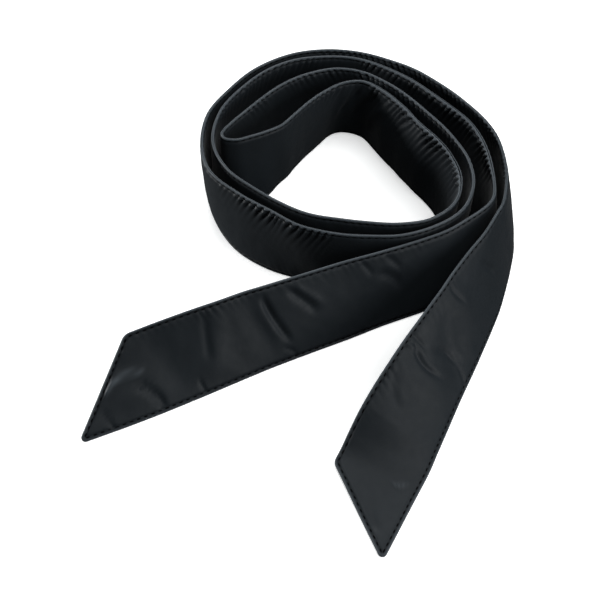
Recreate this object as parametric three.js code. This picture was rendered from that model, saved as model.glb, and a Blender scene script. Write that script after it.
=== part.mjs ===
// A soft fabric coat belt that lies wound in a loose coil on its edge, with two free ends.
// Millimetres, +Z up. The origin is under the middle of the belt, on the surface that it lies on.
// The belt is two long cloth panels sewn together round their edges. It is folded in half at a
// tight fold, and both halves are wound side by side one and a half turns clockwise, seen from above.
import * as THREE from "three";

const { degToRad, radToDeg, clamp, smoothstep } = THREE.MathUtils;

// Cloth and seams
const BELT_WIDTH = 50;
const PANEL_THICKNESS = 1;
const SEAM_GAP = 0.3; // between the two panels where they are sewn together
const PANEL_PUFF = 0.5; // how far each panel stands off between its seams
const SEAM_MARGIN = 3; // from the edge of the belt to the line of stitches

// Coil and free ends
const COIL_RADIUS = 100; // from the middle of the coil to its outer strand, at the left
const LAYER_CLEARANCE = 1; // the least room between two strands that lie side by side
const LEFT_TAIL = 283.5; // free length that runs off to the left, up to its tip
const RIGHT_TAIL = 226.5; // free length that runs off to the right, up to its tip
const END_SLANT = 0.87; // how far the slanted end runs along the belt, for each width of it
const TIP_RADIUS = 2.5; // rounding of the sharp corner of each end
const HEEL_RADIUS = 7; // rounding of the blunt corner of each end

// Fineness of the mesh
const LONGEST_STEP = 12; // between two neighbouring sections
const STEEPEST_TURN = 24; // degrees between two neighbouring sections
const ROUTE_SAMPLES = 4000; // for measuring along the route
const FULL_COLUMN = 0.35; // of the half width, where the belt has its full thickness
const FULL_SHARE = 0.6; // of the way from a seam to the middle, by which the belt is full

const FABRIC = { color: 0x202427, roughness: 0.62, metalness: 0 };

const BELT_THICKNESS = 2 * PANEL_THICKNESS + SEAM_GAP;
const LAYER_PITCH = BELT_THICKNESS + 2 * PANEL_PUFF + LAYER_CLEARANCE;
const HALF_WIDTH = BELT_WIDTH / 2;
const SEAM_AT = 1 - SEAM_MARGIN / HALF_WIDTH;
const COLUMNS = [-1, -SEAM_AT, -FULL_COLUMN, FULL_COLUMN, SEAM_AT, 1]; // across the belt
const END_ZONE = 2 * BELT_WIDTH; // stretch near each end in which the sections come to slant
const LYING = { from: 70, to: 84 }; // degrees of lean over which the fullness is pressed out

// The coil, a row for each direction round it in degrees clockwise from the fold.
// inner is the distance of the innermost strand from the middle. The others are the room that is
// left between strands: pair between the two halves of the first turn, lap between the first and
// the second turn, outer between the two halves of the second turn. All are shares of COIL_RADIUS.
// The lean columns say how far the top edge of each strand leans out, in degrees.
const COIL_ROWS = [
  { at: 0, lap: 0.003, outer: 0.02, leanLap: 2, leanOuter: 2 },
  { at: 15, inner: 0.53, pair: 0.24, lap: 0.075, outer: 0.025,
    leanInner: 0, leanPair: 0, leanLap: 0, leanOuter: 0 },
  { at: 30, inner: 0.495, pair: 0.21, lap: 0.12, outer: 0.01,
    leanInner: -2, leanPair: 0, leanLap: 0, leanOuter: 0 },
  { at: 45, inner: 0.495, pair: 0.18, lap: 0.125, outer: 0.01,
    leanInner: -3, leanPair: 0, leanLap: 0, leanOuter: 0 },
  { at: 60, inner: 0.515, pair: 0.15, lap: 0.1, outer: 0.015,
    leanInner: -4, leanPair: -2, leanLap: 0, leanOuter: 0 },
  { at: 75, inner: 0.55, pair: 0.095, lap: 0.06, outer: 0.02,
    leanInner: -5, leanPair: -3, leanLap: 0, leanOuter: 0 },
  { at: 90, inner: 0.525, pair: 0.05, lap: 0.07, outer: 0.025,
    leanInner: 2, leanPair: 0, leanLap: 0, leanOuter: 0 },
  { at: 105, inner: 0.435, pair: 0.05, lap: 0.095, outer: 0.035,
    leanInner: 9, leanPair: 4, leanLap: 0, leanOuter: 0 },
  { at: 120, inner: 0.37, pair: 0.06, lap: 0.11, outer: 0.05,
    leanInner: 11, leanPair: 6, leanLap: 0, leanOuter: 0 },
  { at: 135, inner: 0.34, pair: 0.065, lap: 0.115, outer: 0.06,
    leanInner: 11, leanPair: 6, leanLap: 0, leanOuter: 0 },
  { at: 150, inner: 0.33, pair: 0.075, lap: 0.135, outer: 0.065,
    leanInner: 11, leanPair: 6, leanLap: 0, leanOuter: -2 },
  { at: 165, inner: 0.355, pair: 0.08, lap: 0.155, outer: 0.07,
    leanInner: 11, leanPair: 6, leanLap: 0, leanOuter: -5 },
  { at: 180, inner: 0.415, pair: 0.075, lap: 0.15, outer: 0.095,
    leanInner: 11, leanPair: 6, leanLap: 0, leanOuter: -9 },
  { at: 195, inner: 0.505, pair: 0.075, lap: 0.13, outer: 0.09,
    leanInner: 10, leanPair: 5, leanLap: -2, leanOuter: -11 },
  { at: 210, inner: 0.615, pair: 0.055, lap: 0.14, outer: 0.055,
    leanInner: 9, leanPair: 4, leanLap: -5, leanOuter: -12 },
  { at: 225, inner: 0.7, pair: 0.03, leanInner: 6, leanPair: 3 },
  { at: 240, inner: 0.71, pair: 0.035, leanInner: 4, leanPair: 0 },
  { at: 255, inner: 0.685, pair: 0.06, leanInner: 1, leanPair: -1 },
  { at: 270, inner: 0.655, pair: 0.065, leanInner: 0, leanPair: 0 },
  { at: 285, inner: 0.66, pair: 0.07, leanInner: -1, leanPair: 0 },
  { at: 300, inner: 0.695, pair: 0.055, leanInner: -2, leanPair: 0 },
  { at: 315, inner: 0.74, pair: 0.045, leanInner: -5, leanPair: -6 },
  { at: 330, inner: 0.8, pair: 0.05, leanInner: -5, leanPair: -5 },
  { at: 345, inner: 0.87, pair: 0.05, leanInner: 0, leanPair: 3 },
];

// The fold, from the inner strand round to the outer one.
const FOLD_ROWS = [
  { at: 8.5, radius: 0.6 },
  { at: 3.5, radius: 0.7 },
  { at: 1, radius: 0.79 },
  { at: 1.8, radius: 0.86 },
  { at: 4, radius: 0.882 },
  { at: 6.4, radius: 0.872 },
  { at: 10, radius: 0.845 },
];

// The free ends: at each share of the tail's length, the compass direction that it takes from there
// (degrees anticlockwise from +X) and how far its top edge has sunk over towards the coil.
const LEFT_TAIL_ROWS = [
  { along: 0, heading: -110, sunk: 5 },
  { along: 0.03, heading: -128, sunk: 8 },
  { along: 0.06, heading: -134, sunk: 11 },
  { along: 0.095, heading: -141, sunk: 15 },
  { along: 0.15, heading: -153, sunk: 18 },
  { along: 0.21, heading: -158, sunk: 20 },
  { along: 0.32, heading: -159, sunk: 22 },
  { along: 0.4, heading: -158, sunk: 27 },
  { along: 0.52, heading: -158, sunk: 31 },
  { along: 0.61, heading: -158, sunk: 36 },
  { along: 0.75, heading: -158, sunk: 48 },
  { along: 0.87, heading: -158, sunk: 58 },
  { along: 1, heading: -158, sunk: 64 },
];
const RIGHT_TAIL_ROWS = [
  { along: 0, heading: -110, sunk: 12 },
  { along: 0.05, heading: -113, sunk: 15.5 },
  { along: 0.12, heading: -118, sunk: 21 },
  { along: 0.19, heading: -119, sunk: 29 },
  { along: 0.26, heading: -119, sunk: 34.5 },
  { along: 0.37, heading: -120, sunk: 42 },
  { along: 0.52, heading: -119, sunk: 54 },
  { along: 0.67, heading: -118, sunk: 71 },
  { along: 0.74, heading: -118, sunk: 84 },
  { along: 0.79, heading: -117, sunk: 90 },
  { along: 1, heading: -116, sunk: 90 },
];

// The larger creases and hollows of the free ends. along counts from the coil as a share of that
// tail, across runs from -1 at the lower edge to 1, reach and spread are shares of the belt's
// width, turn is the crease's slant in degrees and depth is a share of the width, + outwards.
const CREASE_ROWS = [
  { tail: "left", along: 0.58, across: 0.1, reach: 0.16, spread: 0.55, turn: 12, depth: -0.03 },
  { tail: "left", along: 0.68, across: -0.1, reach: 0.18, spread: 0.6, turn: -10, depth: 0.03 },
  { tail: "left", along: 0.78, across: 0.0, reach: 0.16, spread: 0.6, turn: 15, depth: -0.025 },
  { tail: "left", along: 0.88, across: -0.4, reach: 0.25, spread: 0.35, turn: 50, depth: 0.025 },
  { tail: "right", along: 0.3, across: 0.2, reach: 0.18, spread: 0.4, turn: -20, depth: 0.03 },
  { tail: "right", along: 0.42, across: -0.3, reach: 0.2, spread: 0.35, turn: 35, depth: -0.035 },
  { tail: "right", along: 0.55, across: 0.3, reach: 0.25, spread: 0.4, turn: 0, depth: 0.02 },
];

// A knot of the belt's route: where its middle line runs in plan, and how far its top edge leans to
// the left of the route.
function coilKnot(at, radius, lean) {
  const angle = degToRad(at);
  return { x: -radius * Math.cos(angle), y: radius * Math.sin(angle), lean };
}

// The route of one free end from its knot on the coil, which it leaves out, to its tip.
function tailKnots(start, rows, length, side) {
  const knots = [];
  let { x, y } = start;
  for (let i = 1; i < rows.length; i++) {
    const run = (rows[i].along - rows[i - 1].along) * length;
    const heading = degToRad(rows[i - 1].heading);
    x += run * Math.cos(heading);
    y += run * Math.sin(heading);
    knots.push({ x, y, lean: -side * rows[i].sunk });
  }
  return knots;
}

// Both halves of the belt, from the fold outwards, then joined into one route from tip to tip.
// The inner half is travelled against the winding, so what leans out there leans to the right.
function beltKnots() {
  const inward = -1;
  const outward = 1;
  const first = COIL_ROWS.filter((row) => row.pair !== undefined);
  const second = COIL_ROWS.filter((row) => row.outer !== undefined);
  const foldTip = Math.max(...FOLD_ROWS.map((row) => row.radius)) * COIL_RADIUS;
  const innerAt = (row) => row.inner * COIL_RADIUS;
  const pairAt = (row) => innerAt(row) + LAYER_PITCH + row.pair * COIL_RADIUS;
  const lapAt = (row) => {
    const under = row.pair === undefined ? foldTip : pairAt(row);
    return under + LAYER_PITCH + row.lap * COIL_RADIUS;
  };
  const outerAt = (row) => lapAt(row) + LAYER_PITCH + row.outer * COIL_RADIUS;

  const innerHalf = [
    ...first.map((row) => coilKnot(row.at, innerAt(row), inward * row.leanInner)),
    ...second.map((row) => coilKnot(row.at, lapAt(row), inward * row.leanLap)),
  ];
  const outerHalf = [
    ...first.map((row) => coilKnot(row.at, pairAt(row), outward * row.leanPair)),
    ...second.map((row) => coilKnot(row.at, outerAt(row), outward * row.leanOuter)),
  ];
  const fold = FOLD_ROWS.map((row) => coilKnot(row.at, row.radius * COIL_RADIUS, 0));
  const leftTail = tailKnots(innerHalf.at(-1), LEFT_TAIL_ROWS, LEFT_TAIL, inward);
  const rightTail = tailKnots(outerHalf.at(-1), RIGHT_TAIL_ROWS, RIGHT_TAIL, outward);
  return [...leftTail.reverse(), ...innerHalf.reverse(), ...fold, ...outerHalf, ...rightTail];
}

const KNOTS = beltKnots();
const ROUTE = new THREE.CatmullRomCurve3(
  KNOTS.map(({ x, y }) => new THREE.Vector3(x, y, 0)),
  false,
  "centripetal",
);
ROUTE.arcLengthDivisions = ROUTE_SAMPLES;
const LEANS = new THREE.CatmullRomCurve3(
  KNOTS.map(({ lean }) => new THREE.Vector3(lean, 0, 0)),
  false,
  "catmullrom",
);
const ROUTE_LENGTH = ROUTE.getLength();

// The belt's own directions at a distance along the route: along it, across it from the lower to
// the upper edge, and out of its face.
function frameAt(distance) {
  const share = clamp(distance / ROUTE_LENGTH, 0, 1);
  const knotShare = ROUTE.getUtoTmapping(share);
  const lean = degToRad(clamp(LEANS.getPoint(knotShare).x, -90, 90));
  const along = ROUTE.getTangent(knotShare).normalize();
  const left = new THREE.Vector3(-along.y, along.x, 0);
  const up = new THREE.Vector3(0, 0, 1);
  const across = up.clone().multiplyScalar(Math.cos(lean)).addScaledVector(left, Math.sin(lean));
  const out = new THREE.Vector3().crossVectors(along, across);
  const middle = ROUTE.getPoint(knotShare);
  middle.z = HALF_WIDTH * Math.cos(lean) + (BELT_THICKNESS / 2) * Math.abs(Math.sin(lean));
  return { middle, across, out, lean };
}

// The creases of the free ends, as a distance out of the belt's face.
function creaseAt(distance, v) {
  let depth = 0;
  for (const row of CREASE_ROWS) {
    const left = row.tail === "left";
    const centre = left ? LEFT_TAIL * (1 - row.along) : ROUTE_LENGTH - RIGHT_TAIL * (1 - row.along);
    const turn = degToRad(row.turn);
    const x = (distance - centre) / BELT_WIDTH;
    const y = (v - row.across) / 2;
    const s = (x * Math.cos(turn) + y * Math.sin(turn)) / row.reach;
    const w = (y * Math.cos(turn) - x * Math.sin(turn)) / row.spread;
    const side = left ? 1 : -1;
    depth += side * row.depth * BELT_WIDTH * Math.exp(-s * s - w * w);
  }
  return depth * smoothstep(v, -1, -FULL_COLUMN);
}

// Where the slanted end of the belt lies, as a distance from its tip, across the belt.
// The sharp corner is at the lower edge and the blunt one at the upper edge.
function endInset(v) {
  const fromTip = (v + 1) * HALF_WIDTH;
  const fromHeel = BELT_WIDTH - fromTip;
  const straight = END_SLANT * fromTip;
  const slope = Math.hypot(1, END_SLANT);
  const tipBack = TIP_RADIUS * (slope + END_SLANT);
  const tipRise = TIP_RADIUS * (1 + END_SLANT / slope);
  if (fromTip < tipRise) {
    return tipBack - Math.sqrt(Math.max(0, TIP_RADIUS ** 2 - (fromTip - TIP_RADIUS) ** 2));
  }
  const heelRise = HEEL_RADIUS * (1 - END_SLANT / slope);
  if (fromHeel < heelRise) {
    const heelBack = END_SLANT * BELT_WIDTH + HEEL_RADIUS * (slope - END_SLANT);
    return heelBack - Math.sqrt(Math.max(0, HEEL_RADIUS ** 2 - (fromHeel - HEEL_RADIUS) ** 2));
  }
  return straight;
}

// The distance along the route of one point of a section. Sections near an end slant with it.
function slantedDistance(distance, v) {
  const inset = endInset(v);
  const shrink = (END_ZONE - inset) / END_ZONE;
  const left = ROUTE_LENGTH - distance;
  if (distance < END_ZONE) return inset + distance * shrink;
  if (left < END_ZONE) return ROUTE_LENGTH - inset - left * shrink;
  return distance;
}

// Sections close together where the belt turns sharply, and further apart where it runs straight.
function sectionDistances() {
  const distances = [0];
  const sample = ROUTE_LENGTH / ROUTE_SAMPLES;
  let pace = 0;
  let last = ROUTE.getTangentAt(0);
  for (let i = 1; i < ROUTE_SAMPLES; i++) {
    const tangent = ROUTE.getTangentAt(i / ROUTE_SAMPLES);
    pace += sample / LONGEST_STEP + radToDeg(last.angleTo(tangent)) / STEEPEST_TURN;
    last = tangent;
    if (pace >= 1) {
      distances.push(i * sample);
      pace = 0;
    }
  }
  distances.push(ROUTE_LENGTH);
  return distances;
}

// How full the belt is across its width: pressed flat at the seams, and where it lies on its side.
function fullness(v, lean) {
  const between = smoothstep(SEAM_AT - Math.abs(v), 0, SEAM_AT * FULL_SHARE);
  const lying = smoothstep(Math.abs(radToDeg(lean)), LYING.from, LYING.to);
  return between * (1 - lying);
}

// One cloth panel: side is 1 for the face of the belt and -1 for its back.
function panelGeometry(side) {
  const distances = sectionDistances();
  const positions = [];
  const point = (distance, v, skin) => {
    const along = slantedDistance(distance, v);
    const { middle, across, out, lean } = frameAt(along);
    const puff = PANEL_PUFF * fullness(v, lean);
    const offset = side * (SEAM_GAP / 2 + puff + skin * PANEL_THICKNESS) + creaseAt(along, v);
    const place = middle.addScaledVector(across, v * HALF_WIDTH).addScaledVector(out, offset);
    positions.push(place.x, place.y, place.z);
  };
  for (const distance of distances) {
    for (const v of COLUMNS) point(distance, v, 1);
    for (const v of COLUMNS.toReversed()) point(distance, v, 0);
  }

  const ring = 2 * COLUMNS.length;
  const faces = [];
  const quad = (a, b, c, d) => faces.push(...(side > 0 ? [a, b, c, a, c, d] : [a, c, b, a, d, c]));
  for (let i = 0; i + 1 < distances.length; i++) {
    for (let j = 0; j < ring; j++) {
      const next = (j + 1) % ring;
      quad(i * ring + j, (i + 1) * ring + j, (i + 1) * ring + next, i * ring + next);
    }
  }
  const last = (distances.length - 1) * ring;
  for (let j = 0; j + 1 < COLUMNS.length; j++) {
    const far = ring - 1 - j;
    quad(j, j + 1, far - 1, far);
    quad(last + far, last + far - 1, last + j + 1, last + j);
  }

  const geometry = new THREE.BufferGeometry();
  geometry.setAttribute("position", new THREE.Float32BufferAttribute(positions, 3));
  geometry.setIndex(faces);
  geometry.computeVertexNormals();
  return geometry;
}

function panel(name, side) {
  const mesh = new THREE.Mesh(panelGeometry(side), new THREE.MeshStandardMaterial(FABRIC));
  mesh.name = name;
  return mesh;
}

// The belt stands on z = 0, with the origin under the middle of its outline.
function centred(group) {
  const box = new THREE.Box3().setFromObject(group, true);
  const middle = box.getCenter(new THREE.Vector3());
  group.position.set(-middle.x, -middle.y, -box.min.z);
  return group;
}

const belt = new THREE.Group();
belt.add(panel("face_panel", 1), panel("back_panel", -1));

export default centred(belt);
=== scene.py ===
"""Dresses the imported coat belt: its two cloth panels, its topstitching, the floor, lights and camera.

Every length is in metres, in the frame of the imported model: +Z up, the origin on the floor under the
middle of the wound belt. Distances along the belt run from the tip of its left free end to the tip
of its right one, and distances across it from its lower edge, -1, to its upper edge, 1.
"""

import logging
import math
from dataclasses import dataclass, field
from enum import Enum
from typing import Any

import bpy
import numpy as np
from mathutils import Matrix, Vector


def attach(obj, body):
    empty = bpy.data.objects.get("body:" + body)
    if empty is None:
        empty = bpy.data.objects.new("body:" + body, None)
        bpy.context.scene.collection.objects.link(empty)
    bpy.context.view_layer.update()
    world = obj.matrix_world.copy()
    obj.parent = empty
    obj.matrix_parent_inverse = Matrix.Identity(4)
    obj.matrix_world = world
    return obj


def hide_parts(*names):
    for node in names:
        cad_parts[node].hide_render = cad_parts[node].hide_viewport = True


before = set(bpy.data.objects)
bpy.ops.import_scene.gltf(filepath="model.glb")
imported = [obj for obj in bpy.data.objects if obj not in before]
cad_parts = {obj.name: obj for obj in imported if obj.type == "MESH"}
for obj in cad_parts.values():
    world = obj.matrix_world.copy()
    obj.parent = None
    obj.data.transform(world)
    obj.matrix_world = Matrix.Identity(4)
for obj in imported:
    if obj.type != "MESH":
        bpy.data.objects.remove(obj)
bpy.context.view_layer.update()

Array = np.ndarray
LOG = logging.getLogger("coat_belt")
BODY = "root"
# Point attribute for how far the cloth is drawn pale: rubbed wear and painted highlight at the rims,
# painted highlight on some creases.
WEAR_AND_HIGHLIGHT_ATTRIBUTE = "wear_and_highlight"
OUT_ATTRIBUTE = "cloth_out"
# The scale at which a wave texture's bands repeat once a metre.
ONE_WAVE_A_METRE = math.pi / 10


def mm(length: float) -> float:
    """Turns millimetres into metres."""
    return length / 1000


def smoothstep(x: Array, low: float, high: float) -> Array:
    """Rises smoothly from 0 at low to 1 at high."""
    share = np.clip((np.asarray(x, float) - low) / (high - low), 0, 1)
    return share * share * (3 - 2 * share)


def linear(hex_colour: str) -> tuple[float, float, float, float]:
    """Turns an sRGB hex colour into the linear RGBA that shaders take.

    Args:
        hex_colour: Six hexadecimal digits, with or without a leading #.

    Returns:
        Linear red, green and blue, and an alpha of 1.
    """
    digits = hex_colour.lstrip("#")
    channels = [int(digits[i : i + 2], 16) / 255 for i in (0, 2, 4)]
    red, green, blue = (
        c / 12.92 if c <= 0.04045 else ((c + 0.055) / 1.055) ** 2.4 for c in channels
    )
    return red, green, blue, 1.0


def add_node(
    tree: bpy.types.NodeTree,
    kind: str,
    inputs: dict[Any, Any] | None = None,
    **settings: Any,
) -> bpy.types.Node:
    """Adds a node to a tree, with its settings and links.

    Args:
        tree: The shader or geometry tree.
        kind: The node's type name.
        inputs: For each input, by name or index, its value, or the output socket that feeds it.
        settings: The node's own properties.

    Returns:
        The new node.
    """
    node = tree.nodes.new(kind)
    for name, value in settings.items():
        setattr(node, name, value)
    for key, value in (inputs or {}).items():
        if isinstance(value, bpy.types.NodeSocket):
            tree.links.new(value, node.inputs[key])
        else:
            node.inputs[key].default_value = value
    return node


def empty_material(name: str) -> tuple[bpy.types.Material, bpy.types.NodeTree]:
    """Makes a material, and gives it and its empty node tree."""
    material = bpy.data.materials.new(name)
    material.use_nodes = True
    material.node_tree.nodes.clear()
    return material, material.node_tree


def link_object(name: str, data: bpy.types.ID) -> bpy.types.Object:
    """Makes an object at the origin and links it to the scene."""
    made = bpy.data.objects.new(name, data)
    bpy.context.scene.collection.objects.link(made)
    return made


class Side(Enum):
    """The two cloth panels of the belt."""

    FACE = 1
    BACK = -1


class Half(Enum):
    """The two halves of the folded belt, and how each one's route runs round the coil."""

    INNER = -1
    OUTER = 1


class Tail(Enum):
    """The two free ends."""

    LEFT = -1
    RIGHT = 1


@dataclass(frozen=True)
class CoilRow:
    """The strands in one direction from the middle of the coil.

    at is in degrees clockwise from the fold. inner is how far the innermost strand lies from the
    middle, and pair, lap and outer are the rooms between the strands, as shares of the coil's
    radius. The leans say how far each strand's top edge leans out, in degrees.
    """

    at: float
    inner: float = 0.0
    pair: float | None = None
    lap: float = 0.0
    outer: float | None = None
    lean_inner: float = 0.0
    lean_pair: float = 0.0
    lean_lap: float = 0.0
    lean_outer: float = 0.0


@dataclass(frozen=True)
class TailRow:
    """A free end's compass direction and how far its top edge has sunk, at a share of its length."""

    along: float
    heading: float
    sunk: float


@dataclass(frozen=True)
class Hollow:
    """A large soft crease of a free end, as the solids have it. Sizes are shares of the width."""

    tail: Tail
    along: float
    across: float
    reach: float
    spread: float
    turn: float
    depth: float


COIL_ROWS = (
    CoilRow(0, lap=0.003, outer=0.02, lean_lap=2, lean_outer=2),
    CoilRow(15, 0.53, 0.24, 0.075, 0.025),
    CoilRow(30, 0.495, 0.21, 0.12, 0.01, -2),
    CoilRow(45, 0.495, 0.18, 0.125, 0.01, -3),
    CoilRow(60, 0.515, 0.15, 0.1, 0.015, -4, -2),
    CoilRow(75, 0.55, 0.095, 0.06, 0.02, -5, -3),
    CoilRow(90, 0.525, 0.05, 0.07, 0.025, 2),
    CoilRow(105, 0.435, 0.05, 0.095, 0.035, 9, 4),
    CoilRow(120, 0.37, 0.06, 0.11, 0.05, 11, 6),
    CoilRow(135, 0.34, 0.065, 0.115, 0.06, 11, 6),
    CoilRow(150, 0.33, 0.075, 0.135, 0.065, 11, 6, 0, -2),
    CoilRow(165, 0.355, 0.08, 0.155, 0.07, 11, 6, 0, -5),
    CoilRow(180, 0.415, 0.075, 0.15, 0.095, 11, 6, 0, -9),
    CoilRow(195, 0.505, 0.075, 0.13, 0.09, 10, 5, -2, -11),
    CoilRow(210, 0.615, 0.055, 0.14, 0.055, 9, 4, -5, -12),
    CoilRow(225, 0.7, 0.03, lean_inner=6, lean_pair=3),
    CoilRow(240, 0.71, 0.035, lean_inner=4),
    CoilRow(255, 0.685, 0.06, lean_inner=1, lean_pair=-1),
    CoilRow(270, 0.655, 0.065),
    CoilRow(285, 0.66, 0.07, lean_inner=-1),
    CoilRow(300, 0.695, 0.055, lean_inner=-2),
    CoilRow(315, 0.74, 0.045, lean_inner=-5, lean_pair=-6),
    CoilRow(330, 0.8, 0.05, lean_inner=-5, lean_pair=-5),
    CoilRow(345, 0.87, 0.05, lean_pair=3),
)

# Direction in degrees and share of the coil's radius, from the inner strand round to the outer one.
FOLD_ROWS = (
    (8.5, 0.6),
    (3.5, 0.7),
    (1, 0.79),
    (1.8, 0.86),
    (4, 0.882),
    (6.4, 0.872),
    (10, 0.845),
)

LEFT_TAIL_ROWS = (
    TailRow(0, -110, 5),
    TailRow(0.03, -128, 8),
    TailRow(0.06, -134, 11),
    TailRow(0.095, -141, 15),
    TailRow(0.15, -153, 18),
    TailRow(0.21, -158, 20),
    TailRow(0.32, -159, 22),
    TailRow(0.4, -158, 27),
    TailRow(0.52, -158, 31),
    TailRow(0.61, -158, 36),
    TailRow(0.75, -158, 48),
    TailRow(0.87, -158, 58),
    TailRow(1, -158, 64),
)
RIGHT_TAIL_ROWS = (
    TailRow(0, -110, 12),
    TailRow(0.05, -113, 15.5),
    TailRow(0.12, -118, 21),
    TailRow(0.19, -119, 29),
    TailRow(0.26, -119, 34.5),
    TailRow(0.37, -120, 42),
    TailRow(0.52, -119, 54),
    TailRow(0.67, -118, 71),
    TailRow(0.74, -118, 84),
    TailRow(0.79, -117, 90),
    TailRow(1, -116, 90),
)

HOLLOWS = (
    Hollow(Tail.LEFT, 0.58, 0.1, 0.16, 0.55, 12, -0.03),
    Hollow(Tail.LEFT, 0.68, -0.1, 0.18, 0.6, -10, 0.03),
    Hollow(Tail.LEFT, 0.78, 0.0, 0.16, 0.6, 15, -0.025),
    Hollow(Tail.LEFT, 0.88, -0.4, 0.25, 0.35, 50, 0.025),
    Hollow(Tail.RIGHT, 0.3, 0.2, 0.18, 0.4, -20, 0.03),
    Hollow(Tail.RIGHT, 0.42, -0.3, 0.2, 0.35, 35, -0.035),
    Hollow(Tail.RIGHT, 0.55, 0.3, 0.25, 0.4, 0, 0.02),
)


@dataclass(frozen=True)
class BeltSizes:
    """The belt's own sizes."""

    width: float = mm(50)
    panel_thickness: float = mm(1)
    seam_gap: float = mm(0.3)
    panel_puff: float = mm(0.5)
    seam_margin: float = mm(2.1)
    coil_radius: float = mm(100)
    layer_clearance: float = mm(1)
    left_tail: float = mm(283.5)
    right_tail: float = mm(226.5)
    end_slant: float = 0.87
    tip_radius: float = mm(2.5)
    heel_radius: float = mm(7)
    coil_centre: tuple[float, float] = (mm(33.52), mm(86.61))

    @property
    def half_width(self) -> float:
        """Half the belt's width."""
        return self.width / 2

    @property
    def thickness(self) -> float:
        """The belt's thickness where it is sewn together."""
        return 2 * self.panel_thickness + self.seam_gap

    @property
    def layer_pitch(self) -> float:
        """The least distance between the middles of two strands."""
        return self.thickness + 2 * self.panel_puff + self.layer_clearance

    @property
    def slope(self) -> float:
        """The length of the slanted end for each unit of width."""
        return math.hypot(1, self.end_slant)


@dataclass
class Spline:
    """A Catmull-Rom curve through rows of numbers, with a piece for each pair of neighbours."""

    points: Array
    centripetal: bool
    pieces: Array = field(init=False)

    def __post_init__(self) -> None:
        """Works out the cubic of each piece."""
        p = np.vstack([2 * self.points[0] - self.points[1], self.points,
                       2 * self.points[-1] - self.points[-2]])
        p0, p1, p2, p3 = p[:-3], p[1:-2], p[2:-1], p[3:]
        if self.centripetal:
            d = np.sqrt(np.linalg.norm(np.diff(p, axis=0), axis=1))[:, None]
            d0, d1, d2 = d[:-2], d[1:-1], d[2:]
            start = ((p1 - p0) / d0 - (p2 - p0) / (d0 + d1) + (p2 - p1) / d1) * d1
            end = ((p2 - p1) / d1 - (p3 - p1) / (d1 + d2) + (p3 - p2) / d2) * d1
        else:
            start, end = (p2 - p0) / 2, (p3 - p1) / 2
        self.pieces = np.stack(
            [p1, start, 3 * (p2 - p1) - 2 * start - end, 2 * (p1 - p2) + start + end], axis=1
        )

    def at(self, u: Array, slope: bool = False) -> Array:
        """Gives the curve's points, or their rates of change, at knot numbers.

        Args:
            u: Where on the curve, from 0 at the first knot, in knots.
            slope: Whether to give the rate of change.

        Returns:
            One row for each entry of u.
        """
        i = np.clip(np.floor(u).astype(int), 0, len(self.pieces) - 1)
        w = (u - i)[:, None]
        a, b, c, d = (self.pieces[i, k] for k in range(4))
        return b + w * (2 * c + 3 * w * d) if slope else a + w * (b + w * (c + w * d))


@dataclass(frozen=True)
class Frames:
    """The belt's middle line and its own directions at a list of distances."""

    middle: Array
    across: Array
    out: Array
    lean: Array


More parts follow.
